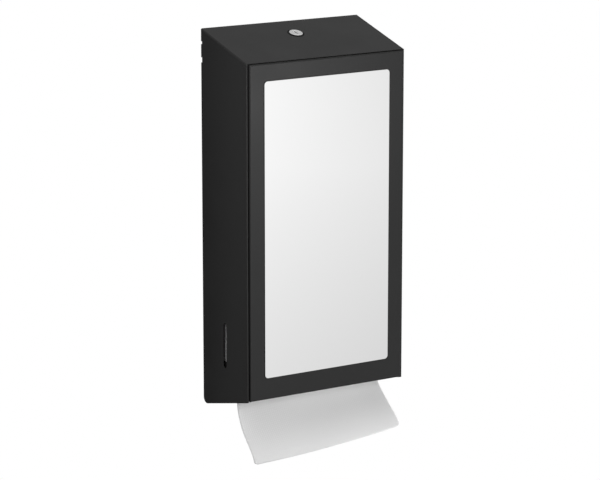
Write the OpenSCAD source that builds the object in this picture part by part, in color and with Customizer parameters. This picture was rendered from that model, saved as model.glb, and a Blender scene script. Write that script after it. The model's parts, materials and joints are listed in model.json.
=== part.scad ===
// Wall-hung dispenser for folded towels, with a mirror in its tilting front.
// X runs to the right, -Y faces the room, +Z is up, and Y = 0 is the wall.
// The origin is the middle of the four wall screws. All sizes are in millimetres.

/* [Towels] */
// Width of a towel
towel_w = 250; // [200:1:300]
// Depth of a folded towel
fold_d = 110; // [90:1:140]
// Height that the stack may fill on the tray
stack_h = 300; // [120:5:360]
// Thickness of one bundle of leaves in the stack
leaf_t = 7; // [4:0.5:12]
// Slit between two bundles
leaf_gap = 0.6; // [0.4:0.1:1]
// Thickness of the hanging towel
towel_t = 0.5; // [0.4:0.1:1]
// Room beside the stack, each side
stack_side_gap = 4.6; // [3:0.1:10]
// Room behind and in front of the stack
stack_end_gap = 0.9; // [0.5:0.1:4]

/* [Hood] */
// Sheet thickness of hood, frame and tray
sheet_t = 1.2; // [0.8:0.1:2]
// Height of the front
front_h = 494; // [430:1:600]
// Fall of the roof from the wall to the front
top_drop = 36; // [20:1:50]
// Rise of the bottom edge from the wall to the front
bottom_rise = 30; // [20:1:45]
// Outer radius of the bends along the roof
roof_bend_r = 2; // [1.6:0.1:4]
// Depth of the hems folded inside the walls' front edges
hem_d = 12; // [6:1:16]
// Opening left inside a folded hem
hem_open = 1.2; // [0.4:0.1:1.5]
// Gap between the hood's back edge and the wall
wall_gap = 1; // [0.5:0.1:3]
// Radius of the heel round the hinge
heel_r = 9; // [8:0.5:14]
// Width of the level slot in the left wall
level_slot_w = 9; // [4:0.5:10]
// Length of the level slot between the middles of its round ends
level_slot_l = 58; // [30:1:100]
// Height of the lower end's middle above the front's lower edge
level_slot_rise = 43; // [30:1:80]
// Distance of the level slot from the wall
level_slot_from_wall = 63; // [50:1:80]
// Height of the upper relief notch
upper_notch_h = 4.3; // [2:0.1:12]
// Height of the lower relief notch
lower_notch_h = 7.6; // [2:0.1:12]
// Distance of the upper notch's middle below the roof's back edge
upper_notch_drop = 21; // [12:1:30]
// Distance of the lower notch's middle below the roof's back edge
lower_notch_drop = 46; // [40:1:80]
// Depth of the relief notches
notch_d = 2.6; // [1:0.1:4]

/* [Front frame and mirror] */
// Outer radius of the frame's bends
frame_bend_r = 2; // [1.6:0.1:4]
// How far the frame stands out in front of the hood's edges
frame_proud = 2.6; // [0:0.1:4]
// Height of the frame's lower edge above the hood's lower front corner
frame_bottom_gap = 1.2; // [0:0.1:3]
// Gap between the frame's upper edge and the roof
frame_top_gap = 0.4; // [0.3:0.1:3]
// Depth of the frame's side flanges
frame_side_d = 29; // [26:1:34]
// Depth of the frame's top and bottom flanges
frame_end_d = 15; // [8:1:18]
// Width of the frame beside the glass
border_side = 24.3; // [22:0.1:40]
// Width of the frame above the glass
border_top = 25.4; // [22:0.1:40]
// Width of the frame below the glass
border_bottom = 32.3; // [22:0.1:50]
// Corner radius of the glass
glass_r = 5; // [2:0.5:12]
// Thickness of the glass, which stands out of the window
mirror_t = 3; // [2.5:0.5:6]
// Gap between the glass and the window's edge
glass_gap = 0.4; // [0.3:0.1:1]
// Lap of the backing board behind the frame
backing_lap = 8; // [6:0.5:9]
// Thickness of the foam tape
tape_t = 0.8; // [0.5:0.1:2]
// Width of the foam tape
tape_w = 5; // [3:0.5:6]
// Thickness of the backing board
backing_t = 4; // [2:0.5:5]
// Sheet thickness of the mirror clips
clip_t = 1; // [0.8:0.1:1.5]
// Width of a mirror clip
clip_w = 12; // [9:1:20]
// Upright distance between side clips
clip_pitch = 170; // [120:5:200]
// Sideways distance of the end clips from the middle
clip_spread = 60; // [30:5:90]

/* [Tray] */
// Height of the tray above the front's lower edge
tray_lift = 5; // [4:0.5:12]
// Height of the tray's cheeks
cheek_h = 41; // [30:1:60]
// Height of the tray's front and back flanges
tray_flange_h = 20; // [8:1:28]
// Outer radius of the tray's bends
tray_bend_r = 2; // [1.6:0.1:4]
// Distance of the outlet's middle from the wall
outlet_from_wall = 73; // [60:1:80]
// Width of the outlet from front to back
outlet_w = 46; // [36:1:50]
// Room at each end of the towel in the outlet
outlet_end_gap = 3; // [2:0.5:4]
// Corner radius of the outlet
outlet_r = 6; // [3:0.5:12]
// Radius of the rolled lips
lip_r = 2.4; // [1.6:0.1:3.5]

/* [Wall plate] */
// Sheet thickness of the wall plate
plate_t = 1.2; // [1:0.1:2]
// Depth of the wall plate's side flanges
plate_flange_d = 18; // [14:1:26]
// Outer radius of the wall plate's bends
plate_bend_r = 2; // [2:0.1:4]
// Gap between the hood's walls and the wall plate
side_gap = 0.6; // [0.4:0.1:1.2]
// Height of the plate's lower end above the hood's lowest edge
plate_lift = 6; // [3:0.5:10]
// Distance of the plate's upper end below the roof
plate_top_gap = 4; // [3:0.5:8]
// Height of the screws' middle above the hood's lowest edge
mount_rise = 291; // [250:1:320]
// Diameter of the wall screw holes
screw_hole_d = 6; // [4:0.5:8]
// Sideways distance between screw holes
screw_span_x = 180; // [120:5:220]
// Upright distance between screw holes
screw_span_z = 380; // [200:10:440]

/* [Hinge] */
// Diameter of the hinge pins and stop studs
pin_d = 6; // [4:0.5:8]
// Running clearance round a hinge pin
pin_clear = 0.05; // [0.02:0.01:0.1]
// Outer diameter of the hinge washers and clips
clip_ring_d = 11; // [10:0.5:14]
// Angle that the hood tilts out
tilt_max = 55; // [40:1:60]
// Distance of the stop stud from the hinge
stop_r = 30; // [24:1:36]
// Angle of the closed stop stud from upright
stop_start = 15; // [10:1:18]
// Clearance of the stop stud in its slot
stop_clear = 0.3; // [0.2:0.05:0.6]
// Metal left round the arc slot
ear_margin = 5; // [3:0.5:7]

/* [Lock] */
// Distance of the lock from the wall
lock_from_wall = 43; // [38:1:46]
// Diameter of the lock's head
lock_head_d = 20; // [19:0.5:24]
// Height of the lock's head above its bezel
lock_head_h = 0.8; // [0.8:0.1:3]
// Outer diameter of the black bezel
bezel_d = 25; // [24:0.5:30]
// Thickness of the black bezel
bezel_t = 0.4; // [0.4:0.1:2]
// Diameter of the lock's barrel
barrel_d = 18; // [16:0.5:19]
// Distance across the barrel's flats
barrel_flats = 16; // [14.5:0.5:17]
// Length of the barrel below the bezel
barrel_l = 21; // [18:0.5:24]
// Diameter of the turning plug
plug_d = 12; // [11:0.5:13]
// Width of the collar that keeps the plug from falling through
plug_collar = 1; // [0.6:0.1:1.2]
// Angle of the keyway from the roof's edge
keyway_angle = -75; // [-90:5:90]
// Side of the plug's square tail
tail_w = 7; // [6:0.5:8]
// Thickness of the cam
cam_t = 2; // [1.5:0.1:3]
// Width of the cam's arm
cam_w = 12; // [10:0.5:14]
// Reach of the cam from the lock's axis
cam_l = 34; // [30:0.5:38]
// Thickness of the catch
catch_t = 1.5; // [1:0.1:2]
// Width of the catch
catch_w = 24; // [16:1:30]
// Sideways distance of the catch from the lock's axis
catch_offset = 16; // [15:0.5:20]
// Play between the cam and the catch's lip
catch_play = 0.6; // [0.4:0.1:1.5]
// Room between the cam and the catch's leg
catch_gap = 2; // [1:0.1:3]

/* [Fasteners] */
// Diameter of the weld studs
stud_d = 4; // [3:0.5:5]
// Clearance round a stud
stud_clear = 0.1; // [0.05:0.05:0.3]
// Distance across a nut's flats
nut_flats = 7; // [5.5:0.5:8]
// Height of a nut
nut_h = 3.2; // [2.4:0.1:4]
// Thread shown past a nut
stud_tip = 0.6; // [0.4:0.1:1.2]
// Thickness of the spacers behind frame and tray
spacer_t = 3; // [2.4:0.1:4.5]
// Outer diameter of the spacers
spacer_d = 8; // [7:0.5:10]

/* [Hidden] */
$fn = 72;
black = [0.2, 0.2, 0.2];
zinc = [0.72, 0.72, 0.7];
bright = [0.82, 0.82, 0.83];
paper = [0.9, 0.9, 0.89];

// Overall sizes, built up from the towels outwards
tray_back_gap = 0.8;
tray_front_gap = 1.8;
tray_inner_x = towel_w / 2 + stack_side_gap;
inner_x = tray_inner_x + sheet_t;
hood_in = inner_x + spacer_t;
hood_w = 2 * (hood_in + sheet_t);
seat_t = tape_t + backing_t;
clip_stud_l = clip_t + nut_h + stud_tip;
tray_back_y = -plate_t - tray_back_gap;
stack_back_y = tray_back_y - sheet_t - stack_end_gap;
tray_front_y = stack_back_y - fold_d - stack_end_gap - sheet_t;
front_y = tray_front_y - tray_front_gap - max(clip_stud_l, seat_t + clip_t) - sheet_t;
frame_y = front_y - frame_proud;
frame_seat_y = frame_y + sheet_t;
hood_d = -front_y;
bottom_z = -mount_rise;
back_h = bottom_rise + front_h + top_drop;
roof_a = atan(top_drop / hood_d);
floor_a = atan(bottom_rise / hood_d);
function roof_z(y) = bottom_z + bottom_rise + front_h + top_drop * (hood_d + y) / hood_d;
function floor_z(y) = bottom_z - y * bottom_rise / hood_d;

// Frame, window and glass
hem_t = 2 * sheet_t + hem_open;
frame_bottom_z = bottom_z + bottom_rise;
frame_top_z = roof_z(front_y) - sheet_t / cos(roof_a) - frame_top_gap;
frame_low_z = frame_bottom_z + frame_bottom_gap;
frame_mid_z = (frame_low_z + frame_top_z) / 2;
frame_h = frame_top_z - frame_low_z;
glass_w = 2 * (inner_x - border_side);
glass_h = frame_h - border_top - border_bottom;
window_mid_z = frame_low_z + border_bottom + glass_h / 2;
window_w = glass_w + 2 * glass_gap;
window_h = glass_h + 2 * glass_gap;
board_w = window_w + 2 * backing_lap;
board_h = window_h + 2 * backing_lap;
board_r = 3;

// Hinge and wall plate
pivot_y = -(wall_gap + heel_r);
pivot_z = floor_z(pivot_y) + heel_r / cos(floor_a);
ear_x = hood_in - side_gap;
pin_r = pin_d / 2;
stop_slot_r = pin_r + stop_clear;
ear_r = stop_r + stop_slot_r + ear_margin;
washer_play = 0.05;
washer_t = side_gap - 2 * washer_play;
ring_t = 1;
pin_tip = 0.6;

// Tray, outlet and towels
tray_z = frame_bottom_z + tray_lift;
tray_top_z = tray_z + sheet_t;
outlet_y = -outlet_from_wall;
outlet_l = towel_w + 2 * outlet_end_gap;
leaf_pitch = leaf_t + leaf_gap;
leaf_count = floor(stack_h / leaf_pitch);
fold_r = leaf_t + leaf_gap / 2;
towel_seat_gap = 0.3;
towel_rows = 18;
towel_columns = 14;

// Lock
lock_y = -lock_from_wall;
barrel_r = barrel_d / 2;
barrel_clear = 0.1;
plug_r = plug_d / 2;
tail_clear = 0.05;
plug_recess = 0.3;
plug_collar_h = 0.9;
plug_face = bezel_t + lock_head_h - plug_recess;
plug_collar_z = plug_face - plug_collar_h;
cam_play = 0.3;
cam_top = bezel_t - barrel_l - cam_play;
cam_under = cam_top - cam_t;
cam_screw_r = 2;
cam_screw_head_r = 4.6;
cam_screw_head_h = 2.4;
cam_screw_depth = 8;
cam_screw_tip_gap = 1;
lock_washer_t = 0.8;
lock_nut_h = 5;
lock_nut_flats = 22;
lip_above_cam = 3;
catch_foot_h = 20;

// A flat shape whose two corners along y = 0 are round, with its body below
module cap_profile(w, h, r) {
    translate([-w / 2, -h]) square([w, h - r]);
    translate([r - w / 2, -h]) square([w - 2 * r, h]);
    for (s = [-1, 1]) translate([s * (w / 2 - r), -r]) circle(r);
}

module rounded_rect(w, h, r) {
    square([w, h - 2 * r], center = true);
    square([w - 2 * r, h], center = true);
    for (i = [-1, 1], k = [-1, 1]) translate([i * (w / 2 - r), k * (h / 2 - r)]) circle(r);
}

// A wedge of a circle, between two angles from upright that grow towards the room
module wedge(r, a, b) {
    function way(t) = 2 * r * [-sin(t), cos(t)];
    intersection() {
        circle(r);
        polygon([[0, 0], way(a), way((a + b) / 2), way(b)]);
    }
}

// Extrudes a Y-Z outline across the width
module across(w) {
    rotate([90, 0, 90]) linear_extrude(w, center = true) children();
}

// Extrudes an X-Z outline from y = 0 towards the wall
module backwards(d) {
    translate([0, d, 0]) rotate([90, 0, 0]) linear_extrude(d) children();
}

module ring(outer_r, inner_r, h) {
    linear_extrude(h) difference() {
        circle(outer_r);
        circle(inner_r);
    }
}

module hex_nut(flats, bore_r, h) {
    difference() {
        cylinder(h = h, r = flats / 2 / cos(30), $fn = 6);
        translate([0, 0, -h]) cylinder(h = 3 * h, r = bore_r);
    }
}

module both_sides() {
    children();
    mirror([1, 0, 0]) children();
}

// The roof's own frame: Z stands square on it and +Y runs up towards the wall
module on_roof(y) {
    translate([0, y, roof_z(y)]) rotate([roof_a, 0, 0]) children();
}

// At a point on the right wall's inner face, with Z pointing inwards
module on_right_wall(y, z) {
    translate([hood_in, y, z]) rotate([0, -90, 0]) children();
}

// Every weld stud on the two side walls: three for the frame and two for the tray on each
module at_mounting_studs() {
    frame_stud_y = front_y + hem_d + spacer_d;
    tray_stud_z = tray_top_z + cheek_h / 2;
    both_sides() {
        for (k = [-1, 0, 1]) on_right_wall(frame_stud_y, window_mid_z + k * clip_pitch) children();
        for (y = [tray_front_y + 2 * spacer_d, outlet_y + spacer_d]) on_right_wall(y, tray_stud_z) children();
    }
}

// Every mirror clip, with X pointing at the backing board and Y away from the frame.
// $reach is the distance from the clip's stud to the board.
module at_mirror_clips() {
    side_reach = (border_side - sheet_t - glass_gap - backing_lap) / 2;
    top_reach = (border_top - sheet_t - glass_gap - backing_lap) / 2;
    bottom_reach = (border_bottom - sheet_t - glass_gap - backing_lap) / 2;
    for (s = [-1, 1]) {
        for (k = [-1, 0, 1])
            translate([s * (board_w / 2 + side_reach), frame_seat_y, window_mid_z + k * clip_pitch])
                rotate([0, 90 + 90 * s, 0]) {
                    $reach = side_reach;
                    children();
                }
        translate([s * clip_spread, frame_seat_y, window_mid_z + board_h / 2 + top_reach]) rotate([0, 90, 0]) {
            $reach = top_reach;
            children();
        }
        translate([s * clip_spread, frame_seat_y, window_mid_z - board_h / 2 - bottom_reach]) rotate([0, -90, 0]) {
            $reach = bottom_reach;
            children();
        }
    }
}

// Outline of a side wall, with the heel rounded about the hinge
module side_outline() {
    heel = heel_r * [-sin(floor_a), -cos(floor_a)];
    pivot = [pivot_y, pivot_z];
    polygon([
        [front_y, floor_z(front_y)], [front_y, roof_z(front_y)], [-wall_gap, roof_z(-wall_gap)],
        [-wall_gap, pivot_z], pivot, pivot + heel
    ]);
    translate(pivot) circle(heel_r);
}

// A long bar with the roof's cross-section, drawn in by inset
module roof_bar(inset) {
    reach = hood_d + back_h;
    on_roof(0) translate([0, reach, -inset]) rotate([90, 0, 0]) linear_extrude(2 * reach)
        cap_profile(hood_w - 2 * inset, 2 * back_h, roof_bend_r - inset);
}

module hood_block() {
    intersection() {
        across(hood_w) side_outline();
        roof_bar(0);
    }
}

// Outline of a wall's folded front edge, with a round nose at y = 0 and the wall's inner face at x = 0
module hem_outline() {
    r = hem_t / 2;
    translate([sheet_t - r, r]) difference() {
        union() {
            circle(r);
            translate([-r, 0]) square([hem_t, hem_d - r]);
        }
        circle(hem_open / 2);
        translate([-hem_open / 2, 0]) square([hem_open, hem_d]);
    }
}

// Outline of the roof's single front edge, with a round nose at y = 0
module nose_outline() {
    translate([0, sheet_t / 2]) circle(sheet_t / 2);
    translate([-sheet_t / 2, sheet_t / 2]) square([sheet_t, 2 * hem_t]);
}

module hood_hems() {
    both_sides() translate([hood_in, front_y, bottom_z]) linear_extrude(2 * back_h) hem_outline();
    on_roof(front_y) translate([0, 0, -sheet_t / 2]) across(hood_w) rotate(-90) nose_outline();
}

module level_slot() {
    translate([-hood_w / 2 - sheet_t, -level_slot_from_wall, frame_bottom_z + level_slot_rise]) rotate([0, 90, 0]) {
        for (x = [0, -level_slot_l]) translate([x, 0, 0]) cylinder(h = 3 * sheet_t, r = level_slot_w / 2);
        translate([-level_slot_l, -level_slot_w / 2, 0]) cube([level_slot_l, level_slot_w, 3 * sheet_t]);
    }
}

module relief_notches() {
    for (n = [[upper_notch_h, upper_notch_drop], [lower_notch_h, lower_notch_drop]])
        translate([-hood_w, -wall_gap - notch_d, roof_z(0) - n[1] - n[0] / 2])
            cube([2 * hood_w, 2 * notch_d, n[0]]);
}

// A round bar with two flats, cut or solid, for the lock's barrel and its hole
module flatted_bar(clear, h) {
    intersection() {
        cylinder(h = h, r = barrel_r + clear);
        translate([-barrel_d, -barrel_flats / 2 - clear, 0]) cube([2 * barrel_d, barrel_flats + 2 * clear, h]);
    }
}

module hood_shell() {
    color(black) difference() {
        union() {
            difference() {
                intersection() {
                    hood_block();
                    translate([-hood_w, front_y + hem_t, bottom_z - back_h])
                        cube([2 * hood_w, hood_d, 3 * back_h]);
                }
                roof_bar(sheet_t);
            }
            intersection() {
                hood_block();
                hood_hems();
            }
        }
        on_roof(lock_y) translate([0, 0, -barrel_l]) flatted_bar(barrel_clear, 2 * barrel_l);
        level_slot();
        relief_notches();
    }
}

// The frame's outer or inner form: a block with round front edges
module frame_block(inset) {
    r = frame_bend_r - inset;
    y = frame_y + inset;
    intersection() {
        translate([0, y, bottom_z]) linear_extrude(2 * back_h)
            rotate(180) cap_profile(2 * (inner_x - inset), frame_side_d, r);
        across(hood_w) translate([y, frame_mid_z]) rotate(90) cap_profile(frame_h - 2 * inset, frame_side_d, r);
    }
}

module front_frame() {
    end_flange_y = frame_y + frame_end_d;
    color(black) difference() {
        frame_block(0);
        frame_block(sheet_t);
        for (z = [frame_low_z, frame_top_z])
            translate([-tray_inner_x, end_flange_y, z - frame_bend_r])
                cube([2 * tray_inner_x, frame_side_d, 2 * frame_bend_r]);
        translate([0, frame_y - sheet_t, window_mid_z]) backwards(3 * sheet_t)
            rounded_rect(window_w, window_h, glass_r + glass_gap);
        both_sides() translate([tray_inner_x, tray_front_y - tray_front_gap / 2, frame_bottom_z - tray_lift])
            cube([spacer_t, frame_side_d, 2 * tray_lift + cheek_h + tray_front_gap]);
        at_mounting_studs() cylinder(h = 2 * spacer_t, r = stud_d / 2 + stud_clear);
    }
}

module mirror_tape() {
    color("dimgray") translate([0, frame_seat_y, window_mid_z]) backwards(tape_t) difference() {
        rounded_rect(board_w, board_h, board_r);
        rounded_rect(board_w - 2 * tape_w, board_h - 2 * tape_w, board_r);
    }
}

// The glass stands on the board and comes out through the window
module mirror_glass() {
    color("whitesmoke") translate([0, frame_seat_y + tape_t - mirror_t, window_mid_z]) backwards(mirror_t)
        rounded_rect(glass_w, glass_h, glass_r);
}

module mirror_backing() {
    color("tan") translate([0, frame_seat_y + tape_t, window_mid_z]) backwards(backing_t)
        rounded_rect(board_w, board_h, board_r);
}

// A Z-shaped clip: foot on the frame, riser beside the board, finger over it
module mirror_clip(reach) {
    riser_x = reach - 2 * clip_t;
    finger = backing_lap / 2;
    difference() {
        translate([-clip_w / 2, 0, -clip_w / 2]) union() {
            cube([clip_w / 2 + riser_x + clip_t, clip_t, clip_w]);
            translate([clip_w / 2 + riser_x, 0, 0]) cube([clip_t, seat_t + clip_t, clip_w]);
            translate([clip_w / 2 + riser_x, seat_t, 0]) cube([reach - riser_x + finger, clip_t, clip_w]);
        }
        rotate([-90, 0, 0]) cylinder(h = 3 * clip_t, r = stud_d / 2 + stud_clear, center = true);
    }
}

module mirror_clips() {
    color(zinc) at_mirror_clips() mirror_clip($reach);
}

module clip_studs() {
    color(zinc) at_mirror_clips() rotate([-90, 0, 0]) cylinder(h = clip_stud_l, r = stud_d / 2);
}

module clip_nuts() {
    color(zinc) at_mirror_clips() translate([0, clip_t, 0]) rotate([-90, 0, 0])
        hex_nut(nut_flats, stud_d / 2 + stud_clear / 2, nut_h);
}

module mounting_studs() {
    color(zinc) at_mounting_studs() cylinder(h = spacer_t + sheet_t + nut_h + stud_tip, r = stud_d / 2);
}

module stud_spacers() {
    color(zinc) at_mounting_studs() ring(spacer_d / 2, stud_d / 2 + stud_clear, spacer_t);
}

module stud_nuts() {
    color(zinc) at_mounting_studs() translate([0, 0, spacer_t + sheet_t])
        hex_nut(nut_flats, stud_d / 2 + stud_clear / 2, nut_h);
}

module towel_tray() {
    tray_d = tray_back_y - tray_front_y;
    color(black) {
        difference() {
            union() {
                translate([0, tray_front_y, tray_z]) backwards(tray_d) difference() {
                    rotate(180) cap_profile(2 * inner_x, cheek_h, tray_bend_r);
                    translate([0, sheet_t]) rotate(180)
                        cap_profile(2 * tray_inner_x, cheek_h, tray_bend_r - sheet_t);
                }
                for (y = [tray_front_y, tray_back_y - sheet_t])
                    translate([-tray_inner_x, y, tray_z]) cube([2 * tray_inner_x, sheet_t, tray_flange_h]);
            }
            translate([0, outlet_y, tray_z - sheet_t]) linear_extrude(3 * sheet_t)
                rounded_rect(outlet_l, outlet_w, outlet_r);
            at_mounting_studs() cylinder(h = 2 * spacer_t, r = stud_d / 2 + stud_clear);
        }
        for (s = [-1, 1])
            translate([0, outlet_y + s * (outlet_w / 2 + lip_r / 2), tray_top_z - lip_r])
                across(outlet_l - 2 * outlet_r) circle(lip_r);
    }
}

// Ear of a side flange: a wedge round the arc slot and a boss round the pin
module ear_outline() {
    margin_a = atan((stop_slot_r + ear_margin) / stop_r);
    circle(heel_r - side_gap);
    wedge(ear_r, 0, stop_start + tilt_max + margin_a);
}

// The pin's hole and the stop stud's arc slot
module ear_cuts() {
    stop_end = stop_start + tilt_max;
    circle(pin_r + pin_clear);
    intersection() {
        difference() {
            circle(stop_r + stop_slot_r);
            circle(stop_r - stop_slot_r);
        }
        wedge(2 * stop_r, stop_start, stop_end);
    }
    for (t = [stop_start, stop_end]) translate(stop_r * [-sin(t), cos(t)]) circle(stop_slot_r);
}

// A channel cut off below the roof, with an ear on each flange
module wall_plate() {
    channel_x = 2 * (ear_x - plate_t);
    color(black) difference() {
        union() {
            intersection() {
                translate([0, 0, bottom_z + plate_lift]) linear_extrude(back_h) difference() {
                    cap_profile(2 * ear_x, plate_flange_d, plate_bend_r);
                    translate([0, -plate_t]) cap_profile(channel_x, plate_flange_d, plate_bend_r - plate_t);
                }
                on_roof(0) translate([-hood_w, -back_h, -2 * back_h - plate_top_gap])
                    cube(2 * [hood_w, back_h, back_h]);
            }
            both_sides() translate([ear_x - plate_t / 2, pivot_y, pivot_z]) across(plate_t) ear_outline();
        }
        translate([0, pivot_y, pivot_z]) across(hood_w) ear_cuts();
        for (i = [-1, 1], k = [-1, 1])
            translate([i * screw_span_x / 2, plate_t, k * screw_span_z / 2]) rotate([90, 0, 0])
                cylinder(h = 3 * plate_t, r = screw_hole_d / 2);
    }
}

module hinge_pins() {
    color(zinc) both_sides() on_right_wall(pivot_y, pivot_z)
        cylinder(h = side_gap + plate_t + washer_play + ring_t + pin_tip, r = pin_r);
}

module hinge_washers() {
    color("ivory") both_sides() on_right_wall(pivot_y, pivot_z) translate([0, 0, washer_play])
        ring(clip_ring_d / 2, pin_r + pin_clear, washer_t);
}

module hinge_clips() {
    color(zinc) both_sides() on_right_wall(pivot_y, pivot_z) translate([0, 0, side_gap + plate_t + washer_play])
        ring(clip_ring_d / 2, pin_r + pin_clear / 2, ring_t);
}

module stop_studs() {
    stop_y = pivot_y - stop_r * sin(stop_start);
    stop_z = pivot_z + stop_r * cos(stop_start);
    color(zinc) both_sides() on_right_wall(stop_y, stop_z)
        cylinder(h = side_gap + plate_t + stop_clear, r = pin_r);
}

module lock_bezel() {
    color("black") on_roof(lock_y) ring(bezel_d / 2, barrel_r + barrel_clear, bezel_t);
}

module lock_housing() {
    edge = 0.4;
    rim_notch = 1.8;
    head_r = lock_head_d / 2;
    color(bright) on_roof(lock_y) difference() {
        translate([0, 0, bezel_t]) union() {
            cylinder(h = lock_head_h - edge, r = head_r);
            translate([0, 0, lock_head_h - edge]) cylinder(h = edge, r1 = head_r, r2 = head_r - edge);
            translate([0, 0, -barrel_l]) flatted_bar(0, barrel_l);
        }
        translate([0, 0, -barrel_l]) cylinder(h = 3 * barrel_l, r = plug_r + pin_clear);
        translate([0, 0, plug_collar_z - pin_clear]) cylinder(h = barrel_l, r = plug_r + plug_collar + pin_clear);
        translate([-rim_notch / 2, -head_r - rim_notch / 2, bezel_t + lock_head_h / 2])
            cube([rim_notch, rim_notch, lock_head_h]);
    }
}

module lock_washer() {
    color(zinc) on_roof(lock_y) translate([0, 0, -sheet_t - lock_washer_t])
        ring(lock_nut_flats / 2, barrel_r + barrel_clear, lock_washer_t);
}

module lock_nut() {
    color(zinc) on_roof(lock_y) translate([0, 0, -sheet_t - lock_washer_t - lock_nut_h])
        hex_nut(lock_nut_flats, barrel_r + barrel_clear / 2, lock_nut_h);
}

module lock_plug() {
    keyway = [8, 1.8, 6];
    color(bright) on_roof(lock_y) difference() {
        union() {
            translate([0, 0, cam_top]) cylinder(h = plug_face - cam_top, r = plug_r);
            translate([0, 0, plug_collar_z]) cylinder(h = plug_face - plug_collar_z, r = plug_r + plug_collar);
            translate([-tail_w / 2, -tail_w / 2, cam_under]) cube([tail_w, tail_w, 2 * cam_t]);
        }
        translate([0, 0, plug_face]) rotate(keyway_angle)
            cube([keyway[0], keyway[1], 2 * keyway[2]], center = true);
        translate([0, 0, cam_under - cam_t]) cylinder(h = cam_t + cam_screw_depth, r = cam_screw_r + tail_clear);
    }
}

module lock_cam() {
    tip_y = cam_l - cam_w / 2;
    color(zinc) on_roof(lock_y) translate([0, 0, cam_under]) linear_extrude(cam_t) difference() {
        union() {
            circle(barrel_r);
            translate([-cam_w / 2, 0]) square([cam_w, tip_y]);
            translate([0, tip_y]) circle(cam_w / 2);
        }
        square(tail_w + 2 * tail_clear, center = true);
    }
}

module cam_screw() {
    color(zinc) on_roof(lock_y) translate([0, 0, cam_under]) {
        translate([0, 0, -cam_screw_head_h]) cylinder(h = cam_screw_head_h, r = cam_screw_head_r);
        cylinder(h = cam_screw_depth - cam_screw_tip_gap, r = cam_screw_r);
    }
}

// A bent strip: foot on the wall plate, leg under the cam, lip in front of it
module lock_catch() {
    leg_top = cam_under - catch_gap;
    lip_top = cam_top + lip_above_cam;
    lip_y = -cam_w / 2 - catch_play - catch_t;
    foot_y = -plate_t - catch_t;
    foot_top_z = roof_z(-plate_t) + leg_top / cos(roof_a);
    // A point of the section, measured from the lock along the roof and above it
    function at_lock(y, z) = [
        lock_y + y * cos(roof_a) - z * sin(roof_a),
        roof_z(lock_y) + y * sin(roof_a) + z * cos(roof_a)
    ];
    color(zinc) translate([catch_offset + catch_w / 2, 0, 0]) across(catch_w) polygon([
        at_lock(lip_y, leg_top - catch_t),
        [foot_y, roof_z(foot_y) + (leg_top - catch_t) / cos(roof_a)],
        [foot_y, foot_top_z - catch_foot_h],
        [-plate_t, foot_top_z - catch_foot_h],
        [-plate_t, foot_top_z],
        at_lock(lip_y + catch_t, leg_top),
        at_lock(lip_y + catch_t, lip_top),
        at_lock(lip_y, lip_top)
    ]);
}

// Bundles of leaves, joined by a fold at the back and the front in turn
module towel_stack() {
    leaf_l = fold_d - 2 * fold_r;
    color(paper) translate([0, stack_back_y - fold_d / 2, tray_top_z]) across(towel_w)
        for (i = [0 : leaf_count - 1]) {
            side = i % 2 == 0 ? 1 : -1;
            translate([-leaf_l / 2, i * leaf_pitch]) square([leaf_l, leaf_t]);
            if (i < leaf_count - 1) translate([side * leaf_l / 2, i * leaf_pitch + fold_r]) intersection() {
                circle(fold_r);
                translate([side > 0 ? 0 : -fold_r, -fold_r]) square([fold_r, 2 * fold_r]);
            }
        }
}

// The hanging towel spans two curved side edges, each set by four points from the outlet's middle,
// as shares of the fold's depth. Its left side is pulled further out than its right, so it hangs askew,
// and the middle of its lower edge bows down.
left_shares = [[-0.01, -0.064, 0], [0, -0.064, -0.591], [0.036, -0.336, -0.627], [0.064, -0.409, -0.937]];
right_shares = [[0, 0.046, 0], [0.015, 0.09, -0.255], [0.05, -0.227, -0.427], [0.064, -0.491, -0.72]];
bow_share = [0, -0.014, -0.028];
towel_left = [for (p = left_shares) fold_d * p - [towel_w / 2, 0, 0]];
towel_right = [for (p = right_shares) fold_d * p + [towel_w / 2, 0, 0]];
function bezier(p, t) = let (s = 1 - t)
    s * s * s * p[0] + 3 * s * s * t * p[1] + 3 * s * t * t * p[2] + t * t * t * p[3];
function towel_point(u, v) = (1 - u) * bezier(towel_left, v) + u * bezier(towel_right, v)
    + fold_d * 4 * u * (1 - u) * v * v * bow_share;
function towel_normal(u, v) = let (
        d = 0.01,
        n = cross(towel_point(u + d, v) - towel_point(u - d, v), towel_point(u, v + d) - towel_point(u, v - d))
    ) n / norm(n);

module hanging_towel() {
    columns = towel_columns;
    rows = towel_rows;
    layer = (columns + 1) * (rows + 1);
    function id(k, i, j) = k * layer + i * (rows + 1) + j;
    function quad(a, b, c, d) = [[a, b, c], [a, c, d]];
    points = [for (k = [-1, 1], i = [0 : columns], j = [0 : rows])
        let (u = i / columns, v = j / rows) towel_point(u, v) + k * towel_t / 2 * towel_normal(u, v)];
    faces = [
        for (i = [0 : columns - 1], j = [0 : rows - 1]) each concat(
            quad(id(0, i, j), id(0, i + 1, j), id(0, i + 1, j + 1), id(0, i, j + 1)),
            quad(id(1, i, j), id(1, i, j + 1), id(1, i + 1, j + 1), id(1, i + 1, j))
        ),
        for (i = [0 : columns - 1]) each concat(
            quad(id(0, i, 0), id(1, i, 0), id(1, i + 1, 0), id(0, i + 1, 0)),
            quad(id(0, i, rows), id(0, i + 1, rows), id(1, i + 1, rows), id(1, i, rows))
        ),
        for (j = [0 : rows - 1]) each concat(
            quad(id(0, 0, j), id(0, 0, j + 1), id(1, 0, j + 1), id(1, 0, j)),
            quad(id(0, columns, j), id(1, columns, j), id(1, columns, j + 1), id(0, columns, j + 1))
        )
    ];
    color(paper) translate([0, outlet_y, tray_top_z - towel_seat_gap - towel_t]) polyhedron(points, faces);
}

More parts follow.
